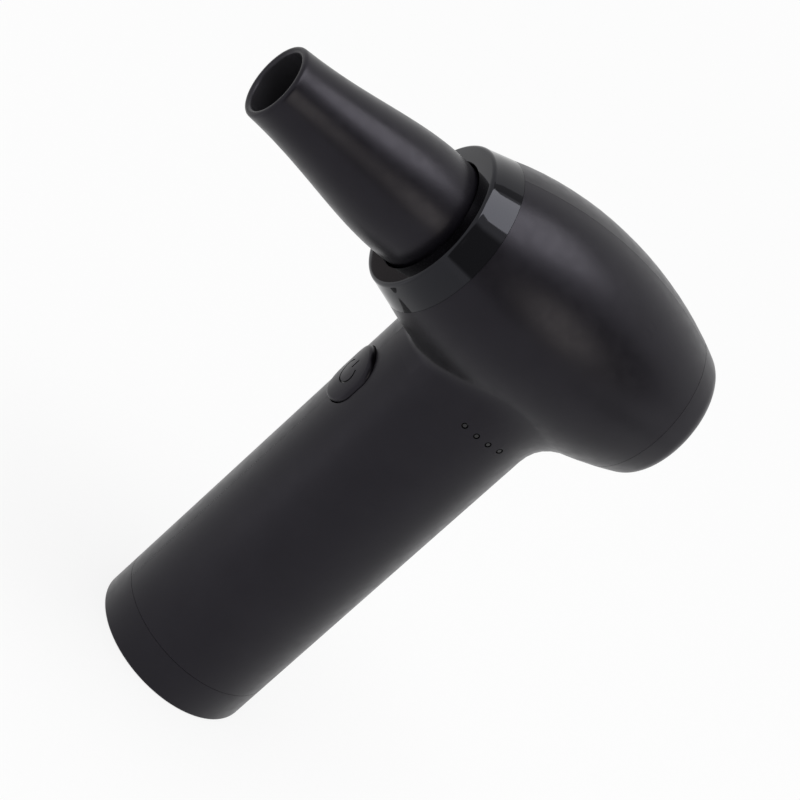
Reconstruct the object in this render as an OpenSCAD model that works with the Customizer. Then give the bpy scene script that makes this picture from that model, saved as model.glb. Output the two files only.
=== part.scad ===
// Hand-held car dryer blower. A straight battery handle carries an egg-shaped fan head with a
// gloss collar ring and a trumpet nozzle that pulls off its socket. The housing is a clamshell
// that parts on the plane y = 0.
// Frame: the origin is the centre of the base, +Z runs up the handle and the nozzle points along
// -X. Stations along the fan axis are measured from the handle's axis, positive to the nozzle.

/* [Battery] */
// Diameter of one battery cell
cell_d = 18.5; // [18:0.1:19]
// Length of one battery cell
cell_l = 65.2; // [64:0.2:70]
// Gap between neighbouring cells
cell_gap = 0.6; // [0.4:0.1:1]
// Gap between the cell pack and the handle's bore
pack_clear = 0.72; // [0.6:0.04:1.4]

/* [Housing] */
// Wall of the housing halves
shell_wall = 2; // [1.8:0.1:2.4]
// Width of the lines between the housing's pieces
seam_gap = 0.1; // [0.1:0.05:0.3]
// Leg of the blend between handle and head, at the front of the handle
front_blend = 1.6; // [1:0.2:3]
// Leg of the blend between handle and head, at the back of the handle
rear_blend = 8; // [5:0.5:10]
// Radius of a screw boss
boss_r = 2.8; // [2.6:0.1:3]

/* [Base] */
// Height of the base cap
base_cap_h = 10.8; // [10.4:0.2:13]
// Rounding of the bottom edge
base_edge_r = 0.6; // [0.4:0.1:1.8]
// Thickness of the base cap's floor
base_floor = 2.2; // [1.8:0.1:2.6]
// Height of the skirt that plugs the base cap into the handle
base_skirt_h = 2; // [1.6:0.1:3]

/* [Head] */
// Rise of the nozzle end of the fan axis, in degrees
head_tilt = 5.5; // [3:0.5:8]
// Height of the fan axis over the charge indicators
head_rise = 26; // [25:0.5:32]
// Radial room between the fan duct and the housing wall
head_clear = 6.5; // [6.2:0.1:8]
// Station of the head's greatest girth
crown_s = 2; // [0:0.5:4]
// Radius of the head's outline in front of the crown
front_arc = 96; // [90:1:110]
// Radius of the head's outline behind the crown
rear_arc = 110; // [100:1:125]
// Station of the joint between housing and collar ring
front_seam_s = 32; // [31:0.5:36]
// Station of the joint between housing and rear cover
rear_seam_s = -35; // [-38:0.5:-34]

/* [Collar ring] */
// Length of the collar ring's gloss band
collar_l = 8.3; // [7:0.1:10]
// Narrowing of the band's radius towards the front
collar_taper = 2; // [1:0.1:2.6]
// Rounding of the band's front edge
collar_edge_r = 1; // [0.5:0.1:1.4]
// Gap between the nozzle's shoulder and the lip at the front of the collar ring
lip_gap = 0.25; // [0.2:0.05:0.4]

/* [Nozzle] */
// Length of the nozzle in front of the collar ring
nozzle_l = 52.7; // [40:0.1:70]
// Bore radius at the mouth
mouth_bore_r = 8.3; // [7.5:0.1:9]
// Wall at the mouth
mouth_wall = 1.9; // [1.5:0.1:2.4]
// Length of the straight bore behind the mouth
mouth_land = 6; // [5:0.5:8]
// Radius of the plug that fits the socket
plug_r = 14.57; // [14:0.01:15]
// Length of the plug inside the socket
plug_l = 13.5; // [12:0.5:15]
// Swell of the nozzle's shoulder over the plug
shoulder_swell = 0.7; // [0.5:0.1:0.9]
// Nozzle wall
nozzle_wall = 1.7; // [1.5:0.1:1.9]
// Running gap of the plug in the socket
plug_gap = 0.08; // [0.05:0.01:0.1]

/* [Rear cover] */
// Length of the rear cover
rear_cover_l = 9.4; // [9:0.2:12]
// Rounding between the rear cover's side and its back
rear_round = 6; // [5:0.5:6.5]
// Number of intake rings in the grille
grille_rings = 3; // [2:1:4]
// Number of spokes in the grille
grille_spokes = 6; // [4:1:8]

/* [Fan] */
// Tip radius of the impeller
tip_r = 17.3; // [16.5:0.1:18]
// Gap between the blade tips and the duct
tip_gap = 0.3; // [0.3:0.05:0.5]
// Wall of the fan duct
duct_wall = 1.4; // [1.2:0.1:1.8]
// Length of the fan duct
duct_l = 38; // [37:0.5:40]
// Gap between the rear seam and the fan duct
duct_setback = 7; // [6:0.5:7.5]
// Number of impeller blades
blades = 9; // [5:1:11]
// Number of stator vanes
vanes = 8; // [5:1:10]
// Radius of the impeller's hub
hub_r = 10.6; // [10:0.1:10.8]
// Radius of the motor pod
pod_r = 10.8; // [10.6:0.1:11.4]
// Wall of the motor pod
pod_wall = 0.95; // [0.8:0.05:1.1]
// Radius of the motor shaft
shaft_r = 1.5; // [1:0.1:2]
// Outer radius of the bearings
bearing_r = 4; // [3.5:0.1:4.5]
// Width of the bearings
bearing_w = 2.5; // [2:0.1:3]

/* [Power button] */
// Height of the button's outline
button_l = 17.2; // [15:0.2:20]
// Width of the button's outline
button_w = 12.6; // [10:0.2:13]
// Stand of the middle of the button's face over the handle
button_proud = 1.4; // [1.2:0.1:2.4]
// Radius of the crown across the button's face
button_crown_r = 16; // [14:1:24]
// Rounding of the button's edge
button_edge_r = 0.9; // [0.5:0.1:1.2]
// Travel of the button
button_travel = 0.6; // [0.3:0.1:0.8]
// Gap between the button and its hole
button_gap = 0.25; // [0.2:0.05:0.4]

/* [Control board] */
// Length of the control board
board_l = 25; // [24:0.5:30]
// Width of the control board
board_w = 26; // [22:0.5:28]
// Thickness of the boards
board_t = 1.2; // [1:0.1:1.6]

/* [Charge indicators] */
// Height of the indicators over the button
indicator_rise = 18; // [18:0.5:22]
// Centre of the indicator row behind the handle's axis
indicator_x = 2.3; // [0:0.1:3]
// Spacing of the indicators
indicator_pitch = 4.1; // [3:0.1:4.5]
// Radius of one indicator's light pipe behind the wall's face
indicator_r = 0.8; // [0.7:0.05:1]
// Radius of the pipe's tip, which stands alone in its hole
indicator_tip_r = 0.5; // [0.3:0.05:0.6]

/* [Hidden] */

// Facets of the freeform shells and steps along the egg, outside and inside
shell_fn = 72;
bore_fn = 48;
shell_steps = 16;
bore_steps = 12;
// Facets of the turned pieces
turn_fn = 96;

// Clearance between seated pieces, overlap that makes a cut clean, overlap inside one moulding
fit = 0.2;
cut = 1;
bite = 0.5;

// Handle: the bore holds three cells side by side
cells = 3;
cell_ring_r = (cell_d + cell_gap) / sqrt(3);
handle_bore_r = cell_ring_r + cell_d / 2 + pack_clear;
handle_r = handle_bore_r + shell_wall;

// Stack in the handle, from the base up
base_skirt_t = 1.8;
holder_floor = 1;
holder_pocket = 4;
holder_z = base_cap_h + base_skirt_h + fit;
cell_z = holder_z + holder_floor;
cell_top_z = cell_z + cell_l;
holder_top_z = cell_top_z + holder_floor;
strip_t = 0.25;
strip_w = 6;
lead_r = handle_bore_r - 4.4;
lead_pitch = 2.8;
battery_lead_r = 0.8;
motor_lead_r = 0.6;
motor_lead_pitch = 2.2;
stop_rib_z = holder_top_z + strip_t;
stop_rib_t = 1.6;
stop_rib_w = 2.6;
board_room = 1.45;
board_z = stop_rib_z + stop_rib_t + board_room;
button_z = board_z + board_l / 2;
indicator_z = button_z + indicator_rise;
head_z = indicator_z + head_rise;

// Fan duct and head
duct_bore_r = tip_r + tip_gap;
duct_r = duct_bore_r + duct_wall;
head_r = duct_r + head_clear + shell_wall;
duct_rear_s = rear_seam_s + duct_setback;
duct_front_s = duct_rear_s + duct_l;
collar_front_s = front_seam_s + collar_l;
mouth_s = collar_front_s + nozzle_l;
back_s = rear_seam_s - rear_cover_l;
bore_top_z = head_z - 0.6 * head_r;

// Half of the parting line's width, and a block larger than the whole part
parting_gap = seam_gap / 3;
block = 2 * (head_z + head_r);

// Socket for the nozzle, inside the collar ring
socket_r = plug_r + plug_gap;
sleeve_wall = 1.35;
sleeve_r = socket_r + sleeve_wall;
socket_recess = 6.3;
socket_front_s = collar_front_s - socket_recess;
sleeve_rear_s = duct_front_s + fit;
collar_bore_r = sleeve_r + 0.1;
sleeve_rib_t = 1.6;
collar_skirt_l = 5.5;
collar_skirt_t = 1.8;
collar_skirt_r = head_radius(front_seam_s) - shell_wall - fit;
lip_t = 1.6;
sleeve_rib_s = front_seam_s - collar_skirt_l - fit - sleeve_rib_t;

// Nozzle: shoulder of the flare, stop against the socket and groove of the seal ring
shoulder_l = 5.7;
shoulder_s = collar_front_s + shoulder_l;
shoulder_r = plug_r + shoulder_swell;
flare_l = mouth_s - shoulder_s;
stop_gap = 0.1;
stop_w = shoulder_swell;
seal_setback = 7;
seal_groove_s = socket_front_s - seal_setback;
seal_groove_w = 2.2;
seal_groove_r = plug_r - 1.15;
seal_gap = 0.03;

// Rubber rings that hold the duct
damper_w = 5;
damper_inset = 6;
damper_r = duct_r + 2.9;
damper_rib_r = duct_r + 2.1;
damper_rib_t = 1.6;
front_damper_s = duct_front_s - damper_inset;
rear_damper_s = duct_rear_s + damper_inset;

// Motor, from the impeller to the tail cone
impeller_inset = 2;
impeller_l = 13;
pod_rear_s = duct_rear_s + impeller_inset + impeller_l + 1;
pod_l = duct_front_s - pod_rear_s;
pod_bore_r = pod_r - pod_wall;
stator_l = 12;
stator_s = pod_rear_s + pod_l / 2 - stator_l / 2;
stator_r = pod_bore_r - 0.05;
magnet_r = 5.2;
air_gap = 0.4;
terminal_s = 13;
terminal_h = 2.4;
terminal_l = 6;
terminal_w = 8;
stator_bore_r = magnet_r + air_gap;
teeth = 6;
tooth_w = 2.4;
shoe_t = 0.9;
yoke_t = 1;
slot_mouth = 1.2;
coil_gap = 0.15;
end_turn = 1.2;
shaft_gap = 0.02;
bearing_gap = 0.02;
bearing_step = 0.6;
shaft_hole_r = shaft_r + 0.8;
cone_l = 16;
spigot_l = 3;

// Rear cover
cover_wall = 1.8;
cover_skirt_l = 5;
cover_skirt_r = head_radius(rear_seam_s) - shell_wall - fit;
filter_t = 1.6;
filter_ledge = 1.2;
filter_s = back_s + rear_round + 0.4;
filter_seat_r = head_radius(filter_s) - cover_wall;
// The rounding touches the rear arc from inside where its slope is round_lean
round_lean = asin((crown_s - back_s - rear_round) / (rear_arc - rear_round));
round_start_s = crown_s - rear_arc * sin(round_lean);
grille_r = head_r - rear_arc + (rear_arc - rear_round) * cos(round_lean);
grille_hub_r = 3.4;
grille_bar = 1.2;

// Power button and its switch
button_flange = 1.3;
button_flange_t = 1;
mark_r = 3.2;
mark_line = 0.45;
mark_depth = 0.2;
mark_gap = 40;
button_face_x = -handle_r - button_proud;
button_flange_x = -sqrt(pow(handle_bore_r, 2) - pow(button_w / 2 + button_flange, 2)) + 0.45;
button_back_x = button_flange_x + button_flange_t;
switch_size = 6;
switch_h = 3.5;
switch_room = 0.6;
switch_lift = button_travel + switch_room;
switch_x = button_back_x + switch_lift;
stem_r = 1.7;
stem_gap = 0.05;
stem_reach = 1;
stem_room = 0.4;
board_x = switch_x + switch_h;

// Charge indicators
indicator_count = 4;
led_board_y = -handle_bore_r + 3.5;
led_board_l = 17;
led_board_h = 8;
led_l = 1.6;
led_h = 0.6;

// Charging board in the base cap
charge_board_r = handle_bore_r - 0.6;
charge_board_z = base_floor + 1.8;
socket_w = 9;
socket_h = 3.2;
socket_l = 7;
socket_wall = 0.3;
socket_recess_x = 0.8;
socket_overhang = 2;
socket_x = handle_r - socket_recess_x - socket_l;
socket_z = charge_board_z + board_t + socket_h / 2;

// Housing screws: one over the duct and two in the neck
screw_r = 1.25;
screw_head_r = 2.4;
screw_head_h = 1.6;
screw_seat_y = 5;
screw_depth = 8;
pilot_r = screw_r + 0.05;
top_screw_s = rear_damper_s + 12;
top_screw_u = duct_r + boss_r + fit;
neck_screw_z = button_z + 8;
neck_screw_x = handle_bore_r - boss_r - 1;
front_screw_z = board_z + board_l + boss_r + 2.2;
front_screw_x = -(handle_bore_r - boss_r - 1.2);
top_screw = [
    top_screw_u * sin(head_tilt) - top_screw_s * cos(head_tilt),
    head_z + top_screw_u * cos(head_tilt) + top_screw_s * sin(head_tilt)
];
screws = [top_screw, [neck_screw_x, neck_screw_z], [front_screw_x, front_screw_z]];

shell_colour = [0.17, 0.17, 0.18];
gloss_colour = [0.05, 0.05, 0.055];
inner_colour = [0.3, 0.3, 0.32];
board_colour = [0.05, 0.3, 0.16];
metal_colour = [0.72, 0.73, 0.75];

// ---------------------------------------------------------------- outlines and helpers

// Radius of the egg-shaped head at a station of the fan axis
function head_radius(s) =
    let (arc = s > crown_s ? front_arc : rear_arc)
    head_r - arc + sqrt(arc * arc - pow(s - crown_s, 2));

// Height of the head's underside over the point x, y, for a wall pushed in by inset
function underside(x, y, inset = 0, u = -20, passes = 7) =
    let (z = (u - x * sin(head_tilt)) / cos(head_tilt))
    passes == 0 ? head_z + z :
    let (s = z * sin(head_tilt) - x * cos(head_tilt))
    underside(x, y, inset, -sqrt(max(pow(head_radius(s) - inset, 2) - y * y, 0.01)), passes - 1);

function bezier2(a, b, c, t) = (1 - t) * (1 - t) * a + 2 * t * (1 - t) * b + t * t * c;
function bezier3(a, b, c, d, t) =
    pow(1 - t, 3) * a + 3 * t * pow(1 - t, 2) * b + 3 * t * t * (1 - t) * c + t * t * t * d;
function unit(v) = v / norm(v);

// Solid through a stack of closed rings with the same number of points
module skin(rings) {
    n = len(rings[0]);
    m = len(rings);
    middle = function(ring) [for (axis = [0:2]) [for (p = ring) p[axis]] * [for (p = ring) 1] / n];
    polyhedron(
        points = concat([for (ring = rings) each ring], [middle(rings[0]), middle(rings[m - 1])]),
        faces = concat(
            [for (k = [0:n - 1]) [m * n, k, (k + 1) % n]],
            [for (j = [0:m - 2], k = [0:n - 1])
                [j * n + k, (j + 1) * n + k, (j + 1) * n + (k + 1) % n]],
            [for (j = [0:m - 2], k = [0:n - 1])
                [j * n + k, (j + 1) * n + (k + 1) % n, j * n + (k + 1) % n]],
            [for (k = [0:n - 1]) [m * n + 1, (m - 1) * n + (k + 1) % n, (m - 1) * n + k]]
        ),
        convexity = 6
    );
}

// Places children in the fan axis's frame: z along the stations, x up, y to the right half
module on_head() {
    translate([0, 0, head_z]) rotate([0, head_tilt - 90, 0]) children();
}

// Ring turned about z, from station a to station b
module ring(inner, outer, a, b, fn = turn_fn) {
    translate([0, 0, a]) difference() {
        cylinder(r = outer, h = b - a, $fn = fn);
        translate([0, 0, -cut]) cylinder(r = inner, h = b - a + 2 * cut, $fn = fn);
    }
}

// Upright outline with round ends, flat on the plane x = 0
module stadium(height, width, depth) {
    rotate([0, 90, 0]) linear_extrude(depth) union() {
        square([height - width, width], center = true);
        for (side = [-1, 1])
            translate([side * (height - width) / 2, 0]) circle(d = width, $fn = turn_fn);
    }
}

// ---------------------------------------------------------------- housing

// Solid of the egg between two stations, pushed in by inset
module egg(a, b, inset, steps, fn) {
    rotate_extrude($fn = fn) polygon(concat(
        [[0, a]],
        [for (i = [0:steps]) let (s = a + (b - a) * i / steps) [head_radius(s) - inset, s]],
        [[0, b]]
    ));
}

// Outside of the handle, flared into the head along a blend whose leg grows from front to back
module handle_outside() {
    steps = 6;
    sink = [-1.4, 1.2];
    probe_r = handle_r + bite;
    corner_at = function(r, a) [r, underside(r * cos(a), r * sin(a))];
    outline = function(a, t)
        let (
            leg = front_blend + (rear_blend - front_blend) * (1 + cos(a)) / 2,
            corner = corner_at(handle_r, a),
            slope = unit(corner_at(probe_r, a) - corner),
            out = corner_at(handle_r + leg * slope[0], a),
            low = corner - [0, leg]
        )
        t > 1 ? out + sink : bezier2(low, corner, out + [-0.05, 0.05], t);
    turned = function(p, a) [p[0] * cos(a), p[0] * sin(a), p[1]];
    ring_of = function(at) [for (k = [0:shell_fn - 1]) let (a = 360 * k / shell_fn) turned(at(a), a)];
    skin(concat(
        [ring_of(function(a) [handle_r, base_cap_h + seam_gap])],
        [for (j = [0:steps + 1]) ring_of(function(a) outline(a, j / steps))]
    ));
}

module housing_outside() {
    handle_outside();
    on_head() egg(rear_seam_s, front_seam_s, 0, shell_steps, shell_fn);
}

module housing_inside() {
    translate([0, 0, -cut])
        cylinder(r = handle_bore_r, h = bore_top_z + cut, $fn = bore_fn);
    on_head() egg(rear_seam_s - cut, front_seam_s + cut, shell_wall, bore_steps, bore_fn);
    on_head() translate([0, 0, sleeve_rib_s + sleeve_rib_t])
        cylinder(r = collar_skirt_r + fit, h = front_seam_s, $fn = bore_fn);
    on_head() translate([0, 0, rear_seam_s - cut])
        cylinder(r = cover_skirt_r + fit, h = cover_skirt_l + cut, $fn = bore_fn);
}

// Rib across the inside of the head, with a round hole for what it holds
module head_rib(s, t, hole_r) {
    on_head() translate([0, 0, s]) difference() {
        cylinder(r = head_radius(s) - shell_wall / 2, h = t, $fn = bore_fn);
        translate([0, 0, -cut]) cylinder(r = hole_r, h = t + 2 * cut, $fn = bore_fn);
    }
}

// Rib round the handle's bore that stops the cell pack
module stop_rib() {
    translate([0, 0, stop_rib_z]) difference() {
        cylinder(r = handle_bore_r + shell_wall / 2, h = stop_rib_t, $fn = bore_fn);
        translate([0, 0, -cut])
            cylinder(r = handle_bore_r - stop_rib_w, h = stop_rib_t + 2 * cut, $fn = bore_fn);
    }
}

// Screw boss along y at x, z, with a tapered gusset on each side
module screw_boss(x, z, lean) {
    reach = head_r;
    gusset_t = 1.2;
    foot = boss_r + 2;
    top_y = -6;
    translate([x, 0, z]) rotate([0, lean, 0]) {
        rotate([90, 0, 0]) cylinder(r = boss_r, h = reach, $fn = 32);
        for (side = [-1, 1]) hull() {
            translate([-gusset_t / 2, -reach, -bite]) cube([gusset_t, 1, 2 * bite]);
            translate([-gusset_t / 2, -reach, side * foot - bite]) cube([gusset_t, 1, 2 * bite]);
            translate([-gusset_t / 2, top_y, side * (boss_r - bite) - bite / 2])
                cube([gusset_t, bite, bite]);
        }
    }
}

// Channel that holds one edge of the control board, drawn in a little towards its mouth
module board_rail() {
    rail_t = 1.4;
    draft = 0.1;
    step = 1;
    z0 = board_z + step;
    h = board_l - 2 * step;
    for (face = [board_x - fit - rail_t, board_x + board_t + fit]) hull() {
        translate([face, -handle_bore_r - bite, z0]) cube([rail_t, 1, h]);
        translate([face + draft, -board_w / 2 + 1.2, z0 + 0.6]) cube([rail_t - 2 * draft, bite, h - 1.2]);
    }
}

// Posts under the indicator board
module indicator_posts() {
    post_r = 1;
    post_inset = 1.2;
    post_drop = 2.6;
    for (side = [-1, 1])
        translate([
            indicator_x + side * (led_board_l / 2 - post_inset), led_board_y, indicator_z - post_drop
        ]) rotate([90, 0, 0]) cylinder(r = post_r, h = handle_r + led_board_y - bite, $fn = 16);
}

module indicator_row() {
    for (i = [0:indicator_count - 1])
        let (step = (i - (indicator_count - 1) / 2) * indicator_pitch)
            translate([
                indicator_x + step * cos(head_tilt), 0, indicator_z - step * sin(head_tilt)
            ]) children();
}

module button_hole() {
    translate([-handle_r - 2 * cut, 0, button_z])
        stadium(button_l + 2 * button_gap, button_w + 2 * button_gap, shell_wall + 4 * cut);
}

// The half of the housing on the side of y < 0, without the openings of one side only
module half_shell() {
    difference() {
        intersection() {
            union() {
                difference() {
                    housing_outside();
                    housing_inside();
                }
                intersection() {
                    housing_outside();
                    union() {
                        head_rib(front_damper_s - damper_rib_t / 2, damper_rib_t, damper_rib_r + 0.05);
                        head_rib(rear_damper_s - damper_rib_t / 2, damper_rib_t, damper_rib_r + 0.05);
                        head_rib(sleeve_rib_s, sleeve_rib_t, sleeve_r + 0.15);
                        stop_rib();
                        screw_boss(screws[0][0], screws[0][1], head_tilt + 90);
                        screw_boss(screws[1][0], screws[1][1], 0);
                        screw_boss(screws[2][0], screws[2][1], 0);
                        board_rail();
                    }
                }
            }
            translate([-block / 2, -block - parting_gap, -cut]) cube(block);
        }
        button_hole();
    }
}

module left_shell() {
    color(shell_colour) difference() {
        union() {
            half_shell();
            intersection() {
                housing_outside();
                indicator_posts();
            }
        }
        indicator_row() rotate([90, 0, 0]) translate([0, 0, -led_board_y - 1])
            cylinder(r = indicator_r + 0.05, h = handle_r, $fn = 24);
        for (place = screws) translate([place[0], cut, place[1]]) rotate([90, 0, 0])
            cylinder(r = pilot_r, h = screw_depth + 2 * cut, $fn = 24);
    }
}

module right_shell() {
    color(shell_colour) difference() {
        mirror([0, 1, 0]) half_shell();
        for (place = screws) translate([place[0], -cut, place[1]]) rotate([-90, 0, 0]) {
            cylinder(r = screw_r + 0.15, h = screw_seat_y + 2 * cut, $fn = 24);
            translate([0, 0, cut + screw_seat_y])
                cylinder(r = screw_head_r + fit, h = head_r, $fn = 24);
        }
    }
}

module housing_screws() {
    cross = [2.6, 1.8, 0.5];
    color(metal_colour) for (place = screws) translate([place[0], 0, place[1]]) {
        difference() {
            union() {
                translate([0, screw_seat_y, 0]) rotate([-90, 0, 0])
                    cylinder(r = screw_head_r, h = screw_head_h, $fn = turn_fn);
                translate([0, screw_seat_y + 0.1, 0]) rotate([90, 0, 0])
                    cylinder(r = screw_r, h = screw_seat_y + screw_depth, $fn = turn_fn);
            }
            for (turn = [0, 90]) translate([0, screw_seat_y + screw_head_h, 0])
                rotate([0, turn, 0]) cube(cross, center = true);
        }
    }
}

// Gloss trim ring: its skirt plugs into the housing's mouth and holds the halves together
module collar_ring() {
    rear_r = head_radius(front_seam_s);
    front_r = rear_r - collar_taper;
    skirt_in = collar_skirt_r - collar_skirt_t;
    lip_r = shoulder_r + lip_gap;
    lip_s = collar_front_s - lip_t;
    a = front_seam_s + seam_gap;
    edge = [for (i = [0:6]) let (t = 15 * i) [
        front_r - collar_edge_r * (1 - cos(t)), collar_front_s - collar_edge_r * (1 - sin(t))
    ]];
    color(gloss_colour) on_head() rotate_extrude($fn = turn_fn) polygon(concat(
        [[collar_skirt_r, front_seam_s - collar_skirt_l], [collar_skirt_r, a], [rear_r, a]],
        edge,
        [
            [lip_r + fit, collar_front_s], [lip_r, collar_front_s - fit], [lip_r, lip_s],
            [collar_bore_r, lip_s], [collar_bore_r, front_seam_s], [skirt_in, front_seam_s],
            [skirt_in, front_seam_s - collar_skirt_l]
        ]
    ));
}

// Cover of the air intake, with a grille of rings and spokes in its back
module rear_cover() {
    a = rear_seam_s - seam_gap;
    round_steps = 10;
    side_steps = 4;
    spoke_inset = 0.3;
    side = [for (i = [0:side_steps - 1]) let (s = a + (round_start_s - a) * i / side_steps)
        [head_radius(s), s]];
    turn = [for (i = [0:round_steps]) let (t = round_lean + (90 - round_lean) * i / round_steps)
        [grille_r, back_s + rear_round] + rear_round * [cos(t), -sin(t)]];
    skirt_in = cover_skirt_r - cover_wall;
    pitch = (grille_r - grille_hub_r) / grille_rings;
    color(shell_colour) on_head() union() {
        rotate_extrude($fn = turn_fn) polygon(concat(
            [[cover_skirt_r, rear_seam_s + cover_skirt_l], [cover_skirt_r, a]],
            side,
            turn,
            [
                [grille_r - 0.1, back_s], [grille_r - 0.1, back_s + cover_wall],
                [grille_r + 1.5, back_s + cover_wall], [filter_seat_r - filter_ledge, filter_s - 1],
                [filter_seat_r - filter_ledge, filter_s], [filter_seat_r, filter_s],
                [filter_seat_r, filter_s + filter_t + 0.4], [skirt_in, rear_seam_s],
                [skirt_in, rear_seam_s + cover_skirt_l]
            ]
        ));
        for (i = [0:grille_rings - 1])
            ring(i == 0 ? 0.01 : grille_hub_r + i * pitch - grille_bar, grille_hub_r + i * pitch,
                back_s, back_s + cover_wall);
        for (i = [0:grille_spokes - 1]) rotate([0, 0, 360 * i / grille_spokes])
            translate([grille_hub_r - bite, -grille_bar / 2, back_s + spoke_inset])
                cube([grille_r - grille_hub_r + 2 * bite, grille_bar, cover_wall - spoke_inset]);
    }
}

// Washable filter pad behind the grille
module intake_filter() {
    color(inner_colour) on_head() translate([0, 0, filter_s])
        cylinder(r = filter_seat_r - 0.1, h = filter_t, $fn = turn_fn);
}

// Outline of the charging socket with its flat sides height apart
module socket_outline(height) {
    half = (socket_w - socket_h) / 2;
    square([2 * half, height], center = true);
    for (side = [-1, 1]) translate([side * half, 0]) circle(d = height, $fn = turn_fn);
}

// Cap that closes the foot of the handle and carries the charging board
module base_cap() {
    top = base_cap_h;
    bore = handle_r - shell_wall;
    skirt_out = handle_bore_r - seam_gap;
    skirt_in = skirt_out - base_skirt_t;
    post_r = 1.8;
    post_inset = 4;
    ledge_z = top - 1.6;
    edge = [for (i = [0:5]) let (t = 18 * i)
        [handle_r - base_edge_r * (1 - sin(t)), base_edge_r * (1 - cos(t))]];
    color(shell_colour) union() {
        difference() {
            rotate_extrude($fn = turn_fn) polygon(concat(
                [[0, 0]],
                edge,
                [
                    [handle_r, top], [skirt_out, top], [skirt_out, top + base_skirt_h],
                    [skirt_in, top + base_skirt_h], [skirt_in, ledge_z], [bore, ledge_z - 1],
                    [bore, base_floor], [0, base_floor]
                ]
            ));
            translate([bore - cut, 0, socket_z]) rotate([90, 0, 0]) rotate([0, 90, 0])
                linear_extrude(shell_wall + 2 * cut) socket_outline(socket_h + 2 * fit);
        }
        for (a = [60, 180, 300]) rotate([0, 0, a])
            translate([charge_board_r - post_inset, 0, base_floor - bite])
                cylinder(r = post_r, h = charge_board_z - base_floor + bite, $fn = turn_fn);
    }
}

// ---------------------------------------------------------------- nozzle

// Outer radius of the nozzle's flare, from the mouth (t = 0) to the shoulder (t = 1)
function flare(t) =
    let (mouth_r = mouth_bore_r + mouth_wall)
    bezier3([mouth_r, mouth_s], [mouth_r + 0.5, mouth_s - 0.4 * flare_l],
        [shoulder_r, shoulder_s + 0.3 * flare_l], [shoulder_r, shoulder_s], t);

module nozzle() {
    steps = 24;
    lip = mouth_wall / 2;
    outer = [for (i = [1:steps]) flare(i / steps)];
    stop_s = socket_front_s + stop_gap;
    stop_l = 1.3;
    waist_s = stop_s + stop_l + 1;
    tuck = [for (i = [1:6]) bezier3([shoulder_r, shoulder_s], [shoulder_r, shoulder_s - 5.5],
        [plug_r, waist_s + 1.2], [plug_r, waist_s], i / 6)];
    round_lip = [for (i = [0:8]) let (t = 180 - 22.5 * i)
        [mouth_bore_r + lip + lip * cos(t), mouth_s - lip + lip * sin(t)]];
    bore_end = [plug_r - nozzle_wall, shoulder_s - 2];
    bore = [for (i = [0:10]) let (t = i / 10)
        bezier3(bore_end, bore_end + [0, 0.3 * flare_l], [mouth_bore_r, mouth_s - 0.5 * flare_l],
            [mouth_bore_r, mouth_s - mouth_land - lip], t)];
    plug_end = socket_front_s - plug_l;
    groove_end = seal_groove_s - seal_groove_w;
    chamfer = 0.8;
    color(shell_colour) on_head() rotate_extrude($fn = turn_fn) polygon(concat(
        round_lip,
        outer,
        tuck,
        [
            [socket_r + stop_w, stop_s + stop_l], [socket_r + stop_w, stop_s], [plug_r, stop_s],
            [plug_r, seal_groove_s], [seal_groove_r, seal_groove_s],
            [seal_groove_r, groove_end], [plug_r, groove_end],
            [plug_r, plug_end + chamfer], [plug_r - chamfer, plug_end],
            [plug_r - nozzle_wall, plug_end]
        ],
        bore
    ));
}

// Seal ring in the plug's groove
module nozzle_seal() {
    cord_r = (socket_r - seal_gap - seal_groove_r) / 2;
    color(gloss_colour) on_head() translate([0, 0, seal_groove_s - seal_groove_w / 2])
        rotate_extrude($fn = turn_fn) translate([seal_groove_r + cord_r, 0])
            circle(r = cord_r, $fn = 32);
}

// Sleeve that narrows the duct to the nozzle's socket
module outlet_sleeve() {
    funnel_end = sleeve_rear_s + 8.8;
    color(inner_colour) on_head() rotate_extrude($fn = turn_fn) polygon([
        [duct_bore_r, sleeve_rear_s], [duct_r, sleeve_rear_s], [duct_r, sleeve_rear_s + 1.6],
        [sleeve_r, funnel_end + 1.4], [sleeve_r, socket_front_s], [socket_r + 0.5, socket_front_s],
        [socket_r, socket_front_s - 0.5], [socket_r, funnel_end]
    ]);
}

// ---------------------------------------------------------------- fan and motor

// Points of a cambered blade section wrapped on the cylinder of radius r, with its chord at
// pitch degrees from the sense of rotation
function blade_ring(r, chord, pitch, thick, camber, s0) = [
    for (side = [-1, 1], i = [0:4])
        let (
            c = (side < 0 ? i : 4 - i) / 4,
            along = (c - 0.5) * chord,
            off = camber * 4 * c * (1 - c) + side * (thick * (0.3 + 2.4 * c * (1 - c)) / 2),
            arc = along * cos(pitch) - off * sin(pitch),
            a = arc / r * 180 / PI
        )
        [r * cos(a), r * sin(a), s0 + along * sin(pitch) + off * cos(pitch)]
];

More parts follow.
